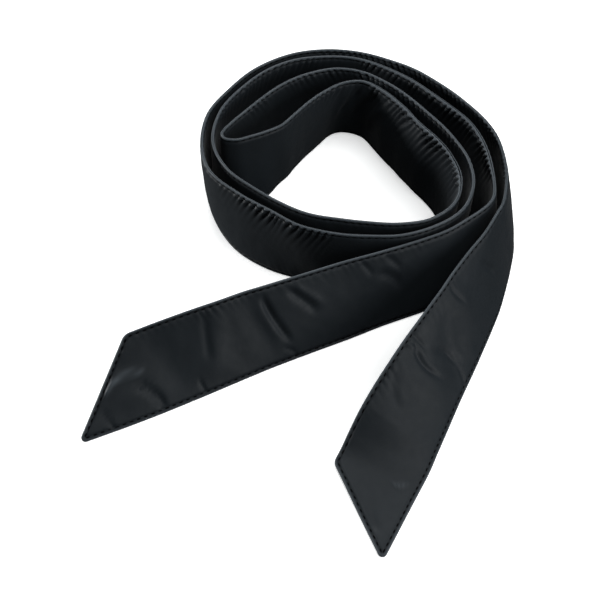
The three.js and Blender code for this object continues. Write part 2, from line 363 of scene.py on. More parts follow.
@dataclass
class Route:
    """The path that the belt takes, from tip to tip, standing on its lower edge."""

    sizes: BeltSizes
    samples_per_knot: int = 160
    length: float = field(init=False)

    def __post_init__(self) -> None:
        """Lays the knots and measures along them."""
        knots = self._knots()
        self.plan = Spline(knots[:, :2], centripetal=True)
        self.leans = Spline(knots[:, 2:], centripetal=False)
        self._numbers = np.linspace(0, len(knots) - 1, self.samples_per_knot * (len(knots) - 1) + 1)
        steps = np.linalg.norm(np.diff(self.plan.at(self._numbers), axis=0), axis=1)
        self._distances = np.concatenate([[0], np.cumsum(steps)])
        self.length = float(self._distances[-1])

    def _coil_knot(self, at: float, radius: float, lean: float) -> tuple[float, float, float]:
        """A knot on the coil: its place in plan, and how far its top edge leans left."""
        angle = math.radians(at)
        x, y = self.sizes.coil_centre
        return x - radius * math.cos(angle), y + radius * math.sin(angle), lean

    def _tail_knots(
        self, start: tuple[float, float, float], rows: tuple[TailRow, ...], length: float, side: int
    ) -> list[tuple[float, float, float]]:
        """The knots of one free end.

        Args:
            start: The knot on the coil that it starts from, which isn't repeated.
            rows: The free end's table.
            length: Its length.
            side: Which way its sunk edge leans.

        Returns:
            The knots from the coil to the tip.
        """
        knots = []
        x, y, _ = start
        for before, row in zip(rows, rows[1:]):
            run = (row.along - before.along) * length
            heading = math.radians(before.heading)
            x, y = x + run * math.cos(heading), y + run * math.sin(heading)
            knots.append((x, y, -side * row.sunk))
        return knots

    def _knots(self) -> Array:
        """All the knots from the left tip to the right one, as rows of x, y and lean."""
        s = self.sizes
        first = [row for row in COIL_ROWS if row.pair is not None]
        second = [row for row in COIL_ROWS if row.outer is not None]
        fold_tip = max(radius for _, radius in FOLD_ROWS) * s.coil_radius

        def inner_at(row: CoilRow) -> float:
            """Distance of the innermost strand from the middle of the coil."""
            return row.inner * s.coil_radius

        def pair_at(row: CoilRow) -> float:
            """Distance of the strand that lies next to the innermost one."""
            return inner_at(row) + s.layer_pitch + row.pair * s.coil_radius

        def lap_at(row: CoilRow) -> float:
            """Distance of the inner half's second turn."""
            under = fold_tip if row.pair is None else pair_at(row)
            return under + s.layer_pitch + row.lap * s.coil_radius

        def outer_at(row: CoilRow) -> float:
            """Distance of the outermost strand."""
            return lap_at(row) + s.layer_pitch + row.outer * s.coil_radius

        inner = [self._coil_knot(r.at, inner_at(r), -r.lean_inner) for r in first]
        inner += [self._coil_knot(r.at, lap_at(r), -r.lean_lap) for r in second]
        outer = [self._coil_knot(r.at, pair_at(r), r.lean_pair) for r in first]
        outer += [self._coil_knot(r.at, outer_at(r), r.lean_outer) for r in second]
        fold = [self._coil_knot(at, radius * s.coil_radius, 0) for at, radius in FOLD_ROWS]
        left = self._tail_knots(inner[-1], LEFT_TAIL_ROWS, s.left_tail, -1)
        right = self._tail_knots(outer[-1], RIGHT_TAIL_ROWS, s.right_tail, 1)
        self._turns = [0, *(r.at for r in first), *(r.at + 360 for r in second)]
        self._turn_knots = [-(len(fold) + 1) / 2, *range(len(self._turns) - 1)]
        self._first_inner = len(left) + len(inner) - 1
        self._first_outer = len(left) + len(inner) + len(fold)
        return np.array([*left[::-1], *inner[::-1], *fold, *outer, *right])

    def distance_of(self, half: Half, turn: float) -> float:
        """The distance along the belt of a direction on one half of the coil.

        Args:
            half: Which half of the folded belt.
            turn: Degrees clockwise from the fold, past 360 on the second turn.

        Returns:
            The distance from the left tip.
        """
        knot = np.interp(turn, self._turns, self._turn_knots)
        number = self._first_outer + knot if half is Half.OUTER else self._first_inner - knot
        return float(np.interp(number, self._numbers, self._distances))

    def tail_distance(self, tail: Tail, share: float) -> float:
        """The distance along the belt of a share of a free end, counted from the coil."""
        if tail is Tail.LEFT:
            return self.sizes.left_tail * (1 - share)
        return self.length - self.sizes.right_tail * (1 - share)

    def stretch(
        self, half: Half, start: float, end: float, along: Array, fade: float = mm(18)
    ) -> Array:
        """Picks out a stretch of one half of the coil.

        Args:
            half: Which half of the folded belt.
            start: Where the stretch starts, in degrees clockwise from the fold.
            end: Where it ends.
            along: Distances along the belt.
            fade: How long its soft ends are.

        Returns:
            1 inside the stretch and 0 outside it, with soft ends.
        """
        low, high = sorted(self.distance_of(half, turn) for turn in (start, end))
        soft = fade / 2
        return smoothstep(along, low - soft, low + soft) * smoothstep(-along, -high - soft, soft - high)

    def part_distance(self, part: Tail | Half, at: float) -> float:
        """The distance along the belt of a place on a free end or on one half of the coil."""
        return (self.tail_distance if isinstance(part, Tail) else self.distance_of)(part, at)

    def frames(self, distance: Array) -> Frames:
        """Gives the middle line and the belt's own directions.

        Args:
            distance: Distances along the belt, in a flat list.

        Returns:
            The points and directions at each of them.
        """
        s = self.sizes
        u = np.interp(distance, self._distances, self._numbers)
        lean = np.radians(np.clip(self.leans.at(u)[:, 0], -90, 90))
        slope = self.plan.at(u, slope=True)
        slope /= np.linalg.norm(slope, axis=1)[:, None]
        flat = np.zeros(len(u))
        left = np.column_stack([-slope[:, 1], slope[:, 0], flat])
        along = np.column_stack([slope, flat])
        across = left * np.sin(lean)[:, None]
        across[:, 2] = np.cos(lean)
        height = s.half_width * np.cos(lean) + s.thickness / 2 * np.abs(np.sin(lean))
        middle = np.column_stack([self.plan.at(u), height])
        return Frames(middle, across, np.cross(along, across), lean)


@dataclass(frozen=True)
class Outline:
    """The belt's flat outline: two long edges and two slanted ends with rounded corners."""

    sizes: BeltSizes
    length: float

    def inset(self, across: Array) -> Array:
        """How far from its tip the slanted end lies, across the belt.

        Args:
            across: Distances from the middle line, + towards the upper edge.

        Returns:
            The end's distance from its tip at each of them.
        """
        s = self.sizes
        from_tip = across + s.half_width
        from_heel = s.width - from_tip
        tip, heel = s.tip_radius, s.heel_radius
        round_tip = tip * (s.slope + s.end_slant) - np.sqrt(
            np.maximum(0, tip**2 - (from_tip - tip) ** 2)
        )
        heel_back = s.end_slant * s.width + heel * (s.slope - s.end_slant)
        round_heel = heel_back - np.sqrt(np.maximum(0, heel**2 - (from_heel - heel) ** 2))
        straight = s.end_slant * from_tip
        straight = np.where(from_tip < tip * (1 + s.end_slant / s.slope), round_tip, straight)
        return np.where(from_heel < heel * (1 - s.end_slant / s.slope), round_heel, straight)

    def edge_distance(self, along: Array, across: Array) -> Array:
        """How far points of the flat belt lie from its outline.

        Args:
            along: Distances along the belt.
            across: Distances from the middle line.

        Returns:
            The distance to the nearest edge, rounded at the corners.
        """
        s = self.sizes
        end = np.minimum(along, self.length - along)
        upper, lower = s.half_width - across, s.half_width + across
        slanted = (end - s.end_slant * lower) / s.slope
        edge = np.minimum(np.minimum(upper, lower), slanted)
        for side, radius, sign in ((upper, s.heel_radius, 1), (lower, s.tip_radius, -1)):
            cosine = sign * s.end_slant / s.slope
            a, b = radius - side, radius - slanted
            corner = ((a - b * cosine) > 0) & ((b - a * cosine) > 0)
            reach = np.sqrt(np.maximum(0, a * a + b * b - 2 * a * b * cosine))
            reach /= math.sqrt(1 - cosine**2)
            edge = np.where(corner, radius - reach, edge)
        return edge


@dataclass
class SmoothNoise:
    """Smooth random waves on a grid that is as coarse as the waves are long."""

    seed: int
    cells: int = 256

    def __post_init__(self) -> None:
        """Draws the grid's heights."""
        self._grid = np.random.default_rng(self.seed).uniform(-1, 1, (self.cells, self.cells))

    def at(self, x: Array, y: Array) -> Array:
        """Heights from -1 to 1 at places given in cells."""
        x, y = np.broadcast_arrays(x, y)
        i, j = np.floor(x).astype(int), np.floor(y).astype(int)
        u, v = smoothstep(x - i, 0, 1), smoothstep(y - j, 0, 1)
        low = self._cell(i, j) * (1 - u) + self._cell(i + 1, j) * u
        high = self._cell(i, j + 1) * (1 - u) + self._cell(i + 1, j + 1) * u
        return low * (1 - v) + high * v

    def _cell(self, i: Array, j: Array) -> Array:
        """The height at a grid corner, with the grid repeated."""
        return self._grid[i % self.cells, j % self.cells]


@dataclass(frozen=True)
class Gather:
    """A stretch of one half of the coil where a seam gathers one panel more than elsewhere.

    start and end are in degrees clockwise from the fold, height is that of the gathers, reach how
    far they run in from the seam, and flare how far the margin beyond the seam rolls out.
    """

    side: Side
    half: Half
    start: float
    end: float
    height: float
    reach: float
    flare: float = 0.0


GATHERS = (
    Gather(Side.BACK, Half.INNER, 95, 150, mm(1.3), mm(7.5), mm(0.8)),
    Gather(Side.BACK, Half.INNER, 150, 214, mm(1.6), mm(10), mm(1)),
    Gather(Side.BACK, Half.INNER, 45, 95, mm(0.6), mm(6)),
    Gather(Side.BACK, Half.INNER, 375, 440, mm(0.75), mm(5)),
    Gather(Side.BACK, Half.INNER, 450, 558, mm(1.3), mm(7.5), mm(0.5)),
    Gather(Side.BACK, Half.OUTER, 285, 340, mm(0.95), mm(6.5)),
    Gather(Side.FACE, Half.OUTER, 20, 185, mm(0.9), mm(5.5)),
    Gather(Side.FACE, Half.OUTER, 430, 560, mm(0.9), mm(7)),
)


@dataclass(frozen=True)
class Bend:
    """A stretch of one half of the coil where the standing belt is bent across its width.

    start and end are in degrees clockwise from the fold. belly is how far its middle stands
    towards the middle of the coil, and foot how far its lower edge does. fade is how long the
    bend's soft ends are.
    """

    half: Half
    start: float
    end: float
    belly: float = 0.0
    foot: float = 0.0
    fade: float = mm(18)


BENDS = (
    Bend(Half.INNER, 105, 180, belly=mm(3.5)),
    Bend(Half.INNER, 60, 165, foot=mm(-1.5)),
    Bend(Half.INNER, 2, 11.5, foot=mm(8)),
    Bend(Half.INNER, 533, 560, foot=mm(11), fade=mm(32)),
    Bend(Half.OUTER, 528, 556, foot=mm(9), fade=mm(44)),
    Bend(Half.INNER, 332, 364, foot=mm(-4.5)),
    Bend(Half.INNER, 465, 540, belly=mm(2)),
)


@dataclass(frozen=True)
class Crease:
    """A fold line in the cloth, as a curved stroke on the flat belt.

    start and end each say where along a part of the belt, as a share of a free end counted from the
    coil, or in degrees clockwise from the fold on one half of the coil, and where across it, from
    -1 at the lower edge to 1 at the upper one. bow bends the stroke sideways by a share of its
    length, width is its half width, and height is + out of the side of a free end that faces up, or
    towards the middle of the coil. painted_highlight says how far the cloth is drawn pale along it
    as a painted highlight, up to 1.
    """

    start: tuple[float, float]
    end: tuple[float, float]
    bow: float
    width: float
    height: float
    painted_highlight: float = 0.0


CREASES: dict[Tail | Half, tuple[Crease, ...]] = {
    Tail.LEFT: (
        Crease((0.563, 0.7), (0.529, -0.43), -0.04, mm(1.7), mm(-2.4)),
        Crease((0.58, 0.6), (0.55, -0.35), 0.0, mm(3), mm(0.5)),
        Crease((0.508, 0.72), (0.461, 0.07), 0.0, mm(2), mm(-1.6)),
        Crease((0.495, 0.8), (0.445, 0.15), 0.0, mm(2), mm(0.8)),
        Crease((0.687, 0.8), (0.7, -0.2), 0.0, mm(2.4), mm(-0.8)),
        Crease((0.855, -0.2), (0.811, -0.85), 0.09, mm(1.6), mm(-2)),
        Crease((0.835, -0.55), (0.818, -0.92), 0.0, mm(0.9), mm(-1)),
        # Painted highlight along this ridge.
        Crease((0.916, -0.12), (0.837, 0.07), 0.156, mm(1.4), mm(1.6), 0.9),
        Crease((0.732, -0.6), (0.724, -0.93), 0.0, mm(0.9), mm(-1)),
        Crease((0.937, -0.5), (0.921, -0.95), 0.0, mm(0.9), mm(-0.9)),
        Crease((0.545, -0.6), (0.518, -0.95), 0.1, mm(0.9), mm(-0.9)),
        Crease((0.318, 0.47), (0.274, 0.0), 0.1, mm(2.5), mm(-1.3)),
        Crease((0.297, 0.87), (0.268, 0.43), 0.0, mm(1.4), mm(-1)),
        Crease((0.35, 0.85), (0.33, 0.5), 0.0, mm(1.2), mm(-0.8)),
    ),
    Tail.RIGHT: (
        Crease((0.482, 0.7), (0.495, -0.17), 0.157, mm(1.6), mm(-1.9)),
        Crease((0.455, 0.17), (0.424, -0.37), -0.18, mm(1.6), mm(-1.7)),
        Crease((0.426, -0.6), (0.453, -0.93), 0.0, mm(0.9), mm(-1)),
        Crease((0.466, 0.95), (0.468, 0.5), 0.0, mm(1), mm(-1)),
        Crease((0.495, 0.9), (0.485, 0.5), 0.0, mm(1), mm(0.9)),
        Crease((0.56, 0.75), (0.63, 0.3), 0.1, mm(2.4), mm(-0.7)),
        # Painted highlight along this short ridge.
        Crease((0.8, -0.4), (0.78, -0.7), 0.2, mm(1.2), mm(0.8), 0.3),
        Crease((0.36, 0.3), (0.4, -0.5), 0.1, mm(3), mm(0.4)),
        Crease((0.86, -0.2), (0.93, -0.6), 0.1, mm(2.2), mm(-0.7)),
        Crease((0.176, 0.47), (0.145, -0.1), 0.0, mm(2), mm(-1.4)),
        Crease((0.3, 0.85), (0.292, 0.33), 0.1, mm(1.2), mm(-1)),
    ),
    Half.INNER: (
        Crease((101, 0.75), (84, -0.3), 0.06, mm(2.2), mm(-1.3)),
        Crease((95, 0.8), (79, -0.1), 0.06, mm(2.4), mm(1.2)),
        Crease((88, 0.7), (76, 0.0), -0.05, mm(2), mm(-1.2)),
        Crease((82, 0.8), (71, -0.2), 0.05, mm(2.6), mm(1.1)),
        Crease((112, 0.6), (96, -0.4), 0.1, mm(3), mm(1.1)),
    ),
}

# Places in the grids of random waves, far enough apart for each use to read waves of its own.
WAVE_ROW, PATCH_ROW, DRIFT_ROW = 7.3, 90.5, 5.5
SWING_SHIFT, DRIFT_SHIFT, CRINKLE_SHIFT = 31, 77, 50


@dataclass
class ClothShape:
    """Where each point of the two cloth panels lies, with its seams, gathers and creases."""

    sizes: BeltSizes
    route: Route
    stitch_pitch: float = mm(4.3)
    groove_depth: float = mm(0.9)
    groove_width: float = mm(0.55)
    rim_reach: float = mm(1)
    margin_share: float = 0.65
    rim_gap: float = mm(0.16)
    rim_share: float = 0.12
    margin_roll: float = mm(0.3)
    margin_crest: float = mm(1.05)
    margin_spread: float = mm(0.5)
    least_cloth: float = mm(0.3)
    base_gather: float = mm(0.16)
    base_reach: float = mm(4)
    gather_slant: float = 0.45
    lower_calm: float = 0.9
    valley_sharpness: float = 1.6
    wave_height: float = mm(0.6)
    wave_length: float = mm(26)
    crinkle_height: float = mm(0.13)
    crinkle_length: float = mm(6)
    full_share: float = 0.6
    # How far in from the rims the cloth is drawn pale, as rubbed wear and painted highlight.
    lying: tuple[float, float] = (70, 84)
    wear_and_highlight_reach: float = mm(1.3)
    seam_rise: float = mm(1)
    puff_near_seam: float = 0.4
    puff_rise: float = mm(2)
    foot_calm: tuple[float, float] = (-1, -0.35)
    crease_fade: tuple[float, float] = (-0.15, 0.2)
    patch_length: float = mm(16)
    calm_blend: float = mm(5)
    # Uneven gathers: their mean height, how far it swings, and over how many stitches and how far
    # across the belt it does.
    swing: tuple[float, float, float, float] = (0.85, 0.8, 1.7, mm(25))
    # How far the gathers drift from the stitches, in stitches, and over how many and how far.
    drift: tuple[float, float, float] = (0.35, 2.3, mm(50))
    valley_depth: float = 2.2
    gather_rise: float = mm(0.8)
    margin_gather: float = 0.6
    margin_rise: float = mm(0.6)
    rim_calm: tuple[float, float] = (mm(0.2), mm(1.1))
    hole_share: float = 0.55
    flare_crest: float = mm(1.2)
    flare_spread: float = mm(2.2)
    crinkle_rise: float = mm(2)
    seed: int = 11

    def __post_init__(self) -> None:
        """Draws the waves and settles the run of the stitches."""
        s = self.sizes
        self.outline = Outline(s, self.route.length)
        self.waves = SmoothNoise(self.seed)
        self.jitter = SmoothNoise(self.seed + 1)
        self.crinkles = SmoothNoise(self.seed + 2)
        self.edge_starts = {
            sign: s.end_slant * (s.half_width + sign * self.seam_at) + s.seam_margin * s.slope
            for sign in (-1, 1)
        }
        self.edge_stitches = {
            sign: round((self.route.length - 2 * start) / self.stitch_pitch)
            for sign, start in self.edge_starts.items()
        }
        self.end_stitches = round(2 * self.seam_at * s.slope / self.stitch_pitch)

    @property
    def seam_at(self) -> float:
        """How far from the middle line the long seams lie."""
        return self.sizes.half_width - self.sizes.seam_margin

    def stitch_phase(self, along: Array, across: Array) -> Array:
        """Counts the stitches along the nearest seam.

        Args:
            along: Distances along the belt.
            across: Distances from the middle line.

        Returns:
            The count at each point, whole at each needle hole.
        """
        s = self.sizes
        end = np.minimum(along, self.route.length - along)
        slanted = (end - s.end_slant * (s.half_width + across)) / s.slope
        side = s.half_width - np.abs(across)
        phase = np.zeros(np.broadcast(along, across).shape)
        for sign, start in self.edge_starts.items():
            run = (along - start) / (self.route.length - 2 * start) * self.edge_stitches[sign]
            phase = np.where(np.sign(across) == sign, run, phase)
        down = (across + self.seam_at) / (2 * self.seam_at) * self.end_stitches
        return np.where(slanted < side, down, phase)

    def hollows(self, along: Array, across: Array) -> Array:
        """Adds up the large soft creases that the solids have.

        Args:
            along: Distances along the belt.
            across: Distances from the middle line.

        Returns:
            How far they raise the cloth out of the face.
        """
        s = self.sizes
        v = across / s.half_width
        depth = np.zeros(np.broadcast(along, across).shape)
        for row in HOLLOWS:
            turn = math.radians(row.turn)
            x = (along - self.route.tail_distance(row.tail, row.along)) / s.width
            y = (v - row.across) / 2
            a = (x * math.cos(turn) + y * math.sin(turn)) / row.reach
            b = (y * math.cos(turn) - x * math.sin(turn)) / row.spread
            depth += -row.tail.value * row.depth * s.width * np.exp(-a * a - b * b)
        return depth * smoothstep(v, *self.foot_calm)

    def stroke(self, part: Tail | Half, crease: Crease, along: Array, across: Array) -> Array:
        """How strongly one fold line shows.

        Args:
            part: The free end or half of the coil that it lies on.
            crease: The fold line.
            along: Distances along the belt.
            across: Distances from the middle line.

        Returns:
            Its strength at each point, 1 at its middle and 0 away from it.
        """
        start, end = (
            np.array([self.route.part_distance(part, at), height * self.sizes.half_width])
            for at, height in (crease.start, crease.end)
        )
        run = float(np.linalg.norm(end - start))
        t = (end - start) / run
        x = ((along - start[0]) * t[0] + (across - start[1]) * t[1]) / run
        y = (across - start[1]) * t[0] - (along - start[0]) * t[1]
        y = y - crease.bow * run * 4 * x * (1 - x)
        ends = smoothstep(x, *self.crease_fade) * smoothstep(1 - x, *self.crease_fade)
        return ends * np.exp(-((y / crease.width) ** 2))

    def creases(self, along: Array, across: Array) -> Array:
        """Adds up the finer fold lines.

        Args:
            along: Distances along the belt.
            across: Distances from the middle line.

        Returns:
            How far they raise the cloth out of the face.
        """
        height = np.zeros(np.broadcast(along, across).shape)
        for part, rows in CREASES.items():
            outwards = part.value if isinstance(part, Half) else -part.value
            for row in rows:
                height += outwards * row.height * self.stroke(part, row, along, across)
        return height

    def wear_and_highlight(self, along: Array, across: Array) -> Array:
        """How far the cloth is drawn pale: at its rims as rubbed wear and a painted highlight, and as a
        painted highlight along some creases.

        Args:
            along: Distances along the belt.
            across: Distances from the middle line.

        Returns:
            0 where the cloth keeps its own colour, up to 1 where it is drawn palest.
        """
        edge = np.maximum(self.outline.edge_distance(along, across), 0)
        wear_and_highlight_share = np.clip(1 - edge / self.wear_and_highlight_reach, 0, 1)
        # Painted highlights along the creases that carry one.
        for part, rows in CREASES.items():
            for row in (row for row in rows if row.painted_highlight):
                wear_and_highlight_share = np.maximum(wear_and_highlight_share, row.painted_highlight * self.stroke(part, row, along, across))
        return wear_and_highlight_share

    def bends(self, along: Array, across: Array) -> Array:
        """Bends the standing belt across its width.

        Args:
            along: Distances along the belt.
            across: Distances from the middle line.

        Returns:
            How far it stands out of the face.
        """
        v = across / self.sizes.half_width
        out = np.zeros(np.broadcast(along, across).shape)
        for row in BENDS:
            inside = self.route.stretch(row.half, row.start, row.end, along, row.fade)
            bend = row.belly * (1 - v * v) + row.foot * ((1 - v) / 2) ** 2
            out += row.half.value * bend * inside
        return out

    def middle_offset(self, along: Array, across: Array) -> Array:
        """Adds up what moves both panels together.

        Args:
            along: Distances along the belt.
            across: Distances from the middle line.

        Returns:
            How far they stand off the route's own surface.
        """
        waves = self.waves.at(along / self.wave_length, across / self.wave_length + WAVE_ROW)
        calm = smoothstep(across / self.sizes.half_width, *self.foot_calm)
        return (
            self.hollows(along, across)
            + self.creases(along, across)
            + self.bends(along, across)
            + self.wave_height * waves * calm
        )

    def gather_strength(self, along: Array, side: Side) -> tuple[Array, Array, Array]:
        """How strongly the seams gather one panel.

        Args:
            along: Distances along the belt.
            side: Which panel.

        Returns:
            The gathers' height, how far they reach in from the seam, and the margin's flare.
        """
        row = np.full(along.shape, PATCH_ROW + side.value)
        patches = self.jitter.at(along / self.patch_length, row)
        height = self.base_gather * (0.9 + 0.9 * patches)
        reach = np.full(along.shape, self.base_reach)
        flare = np.zeros(along.shape)
        for row in GATHERS:
            if row.side is side:
                inside = self.route.stretch(row.half, row.start, row.end, along)
                height = np.maximum(height, row.height * inside * (1 + 0.25 * patches))
                reach = np.maximum(reach, self.base_reach + (row.reach - self.base_reach) * inside)
                flare = np.maximum(flare, row.flare * inside)
        return height, reach, flare

    def panel_offset(self, along: Array, across: Array, side: Side, lean: Array) -> Array:
        """How far a panel's outer skin stands off the middle of the belt.

        Args:
            along: Distances along the belt.
            across: Distances from the middle line.
            side: Which panel.
            lean: The belt's lean at each point.

        Returns:
            The distances, all of them outwards.
        """
        s = self.sizes
        edge = np.maximum(self.outline.edge_distance(along, across), 0)
        inward = edge - s.seam_margin
        phase = self.stitch_phase(along, across)

        curve = np.sqrt(np.clip(1 - (1 - np.minimum(edge / self.rim_reach, 1)) ** 2, 0, 1))
        body = self.margin_share + (1 - self.margin_share) * smoothstep(inward, 0, self.seam_rise)
        skin = self.rim_gap / 2 + s.panel_thickness * body * (
            self.rim_share + (1 - self.rim_share) * curve
        )
        skin += self.margin_roll * np.exp(-(((edge - self.margin_crest) / self.margin_spread) ** 2))
        full = smoothstep(inward, 0, self.seam_at * self.full_share)
        standing = 1 - smoothstep(np.abs(np.degrees(lean)), *self.lying)
        near = self.puff_near_seam * smoothstep(inward, 0, self.puff_rise)
        skin += s.panel_puff * (near + (1 - self.puff_near_seam) * full) * standing

        height, reach, flare = self.gather_strength(along, side)
        lower = smoothstep(-across, -self.calm_blend, self.calm_blend)
        height = height * (1 - self.lower_calm * lower)
        mean, swing, run, spread = self.swing
        swings = self.jitter.at(phase / run + SWING_SHIFT * side.value, across / spread)
        uneven = mean + swing * swings
        most, run, spread = self.drift
        drifts = self.jitter.at(phase / run + DRIFT_SHIFT * side.value, DRIFT_ROW + across / spread)
        drift = most * drifts
        turn = phase + drift - self.gather_slant * inward / self.stitch_pitch
        valley = (0.5 - 0.5 * np.cos(2 * math.pi * turn)) ** self.valley_sharpness
        below = np.exp(-np.maximum(inward, 0) / reach) * smoothstep(inward, 0, self.gather_rise)
        above = smoothstep(-inward, 0, self.margin_rise) * smoothstep(edge, *self.rim_calm)
        shown = below + self.margin_gather * above
        skin += height * uneven * (1 - self.valley_depth * valley) * shown

        stitch = 0.5 - 0.5 * np.cos(2 * math.pi * phase)
        pull = self.hole_share + (1 - self.hole_share) * stitch
        groove = np.exp(-((inward / self.groove_width) ** 2)) * pull
        skin -= self.groove_depth * groove
        roll = np.exp(-(((edge - self.flare_crest) / self.flare_spread) ** 2))
        skin += flare * roll * (across > 0)
        crinkle = self.crinkles.at(
            along / self.crinkle_length, across / self.crinkle_length + CRINKLE_SHIFT * side.value
        )
        skin += self.crinkle_height * crinkle * smoothstep(inward, 0, self.crinkle_rise)
        least = self.rim_gap / 2 + np.minimum(self.least_cloth, s.panel_thickness * curve)
        return np.maximum(skin, least)

    def place(self, along: Array, across: Array, offset: Array, side: Side) -> Array:
        """Puts points of a panel in space.

        Args:
            along: Distances along the belt.
            across: Distances from the middle line.
            offset: How far each point stands off the middle of the belt.
            side: Which panel.

        Returns:
            The points, none of them under the floor.
        """
        frames = self.route.frames(along)
        out = side.value * offset + self.middle_offset(along, across)
        points = frames.middle + frames.across * across[:, None] + frames.out * out[:, None]
        points[:, 2] = np.maximum(points[:, 2], 0)
        return points

    def outer_points(self, along: Array, across: Array, side: Side) -> Array:
        """The points of a panel's outer skin."""
        lean = self.route.frames(along).lean
        return self.place(along, across, self.panel_offset(along, across, side, lean), side)


@dataclass(frozen=True)
class NylonTaffeta:
    """Closely woven nylon taffeta, dyed black and calendered.

    It gives the eye a near-black cloth with a faint, broad sheen, fine crinkles that catch the
    light, and rims drawn in a paler colour as rubbed wear and a painted highlight, with a painted
    highlight along some creases. The real threads lie 0.2 mm apart; they are drawn 0.45 mm apart,
    because finer ones don't show.
    """

    name: str
    colour: str = "#14181b"
    paler: str = "#1a1f23"
    # Pale colour: rubbed wear and painted highlight at the rims, painted highlight on some creases.
    wear_and_highlight: str = "#3d4348"
    roughness: float = 0.52
    thread_spacing: float = mm(0.45)
    thread_depth: float = mm(0.05)
    cloud_size: float = mm(45)
    crinkle_size: float = mm(5)
    crinkle_depth: float = mm(0.35)
    specular: float = 0.12
    sheen: float = 0.05
    sheen_roughness: float = 0.4

    def build(self) -> bpy.types.Material:
        """Makes the material."""
        material, tree = empty_material(self.name)
        cloth = add_node(tree, "ShaderNodeUVMap", uv_map="UVMap").outputs["UV"]
        warp, weft = (
            add_node(
                tree, "ShaderNodeTexWave",
                {"Vector": cloth, "Scale": ONE_WAVE_A_METRE / (2 * self.thread_spacing)},
                wave_type="BANDS", bands_direction=axis, wave_profile="SIN",
            ).outputs["Fac"]
            for axis in ("X", "Y")
        )
        difference = add_node(
            tree, "ShaderNodeMath", {0: warp, 1: weft}, operation="SUBTRACT"
        ).outputs[0]
        weave = add_node(tree, "ShaderNodeMath", {0: difference}, operation="ABSOLUTE").outputs[0]
        clouds = add_node(
            tree, "ShaderNodeTexNoise",
            {"Vector": cloth, "Scale": 1 / self.cloud_size, "Detail": 3.0, "Roughness": 0.55},
        ).outputs["Fac"]
        crinkles = add_node(
            tree, "ShaderNodeTexNoise",
            {"Vector": cloth, "Scale": 1 / self.crinkle_size, "Detail": 4.0, "Roughness": 0.5},
        ).outputs["Fac"]
        wear_and_highlight = add_node(
            tree, "ShaderNodeAttribute", attribute_name=WEAR_AND_HIGHLIGHT_ATTRIBUTE
        ).outputs["Fac"]
        ground = add_node(
            tree, "ShaderNodeMix",
            {"Factor": clouds, "A": linear(self.colour), "B": linear(self.paler)},
            data_type="RGBA",
        ).outputs["Result"]
        # Mixes in the pale colour: rubbed wear and painted highlight at the rims, painted highlight on
        # some creases.
        colour = add_node(
            tree, "ShaderNodeMix",
            {"Factor": wear_and_highlight, "A": ground, "B": linear(self.wear_and_highlight)},
            data_type="RGBA",
        ).outputs["Result"]
        roughness = add_node(
            tree, "ShaderNodeMapRange",
            {"Value": crinkles, "From Min": 0.3, "From Max": 0.7,
             "To Min": self.roughness - 0.05, "To Max": self.roughness + 0.07},
        ).outputs["Result"]
        soft = add_node(
            tree, "ShaderNodeBump",
            {"Height": crinkles, "Strength": 0.35, "Distance": self.crinkle_depth},
        ).outputs["Normal"]
        bump = add_node(
            tree, "ShaderNodeBump",
            {"Height": weave, "Strength": 0.3, "Distance": self.thread_depth, "Normal": soft},
        ).outputs["Normal"]
        shader = add_node(
            tree, "ShaderNodeBsdfPrincipled",
            {"Base Color": colour, "Roughness": roughness, "Normal": bump,
             "Specular IOR Level": self.specular, "Sheen Weight": self.sheen,
             "Sheen Roughness": self.sheen_roughness},
        )
        add_node(tree, "ShaderNodeOutputMaterial", {"Surface": shader.outputs["BSDF"]})
        return material


@dataclass(frozen=True)
class PolyesterThread:
    """Spun polyester sewing thread, drawn darker than the cloth's own black.

    It gives the eye short matt dashes, much darker than the cloth, with a faint fuzz; the extra
    darkness is painted shade of the stitches sunk in their groove. The fibres' lumps are drawn
    0.3 mm long.
    """

    name: str = "spun polyester thread"
    # Far darker than the cloth: painted shade of the stitches sunk in their groove and needle holes.
    colour: str = "#040405"
    fuzz: str = "#08090a"
    roughness: float = 0.85
    specular: float = 0.03
    lump_size: float = mm(0.3)
    lump_depth: float = mm(0.08)

    def build(self) -> bpy.types.Material:
        """Makes the material."""
        material, tree = empty_material(self.name)
        place = add_node(tree, "ShaderNodeTexCoord").outputs["Object"]
        lumps = add_node(
            tree, "ShaderNodeTexNoise",
            {"Vector": place, "Scale": 1 / self.lump_size, "Detail": 2.0},
        ).outputs["Fac"]
        colour = add_node(
            tree, "ShaderNodeMix",
            {"Factor": lumps, "A": linear(self.colour), "B": linear(self.fuzz)},
            data_type="RGBA",
        ).outputs["Result"]
        bump = add_node(
            tree, "ShaderNodeBump", {"Height": lumps, "Strength": 0.5, "Distance": self.lump_depth}
        ).outputs["Normal"]
        shader = add_node(
            tree, "ShaderNodeBsdfPrincipled",
            {"Base Color": colour, "Roughness": self.roughness, "Normal": bump,
             "Specular IOR Level": self.specular},
        )
        add_node(tree, "ShaderNodeOutputMaterial", {"Surface": shader.outputs["BSDF"]})
        return material


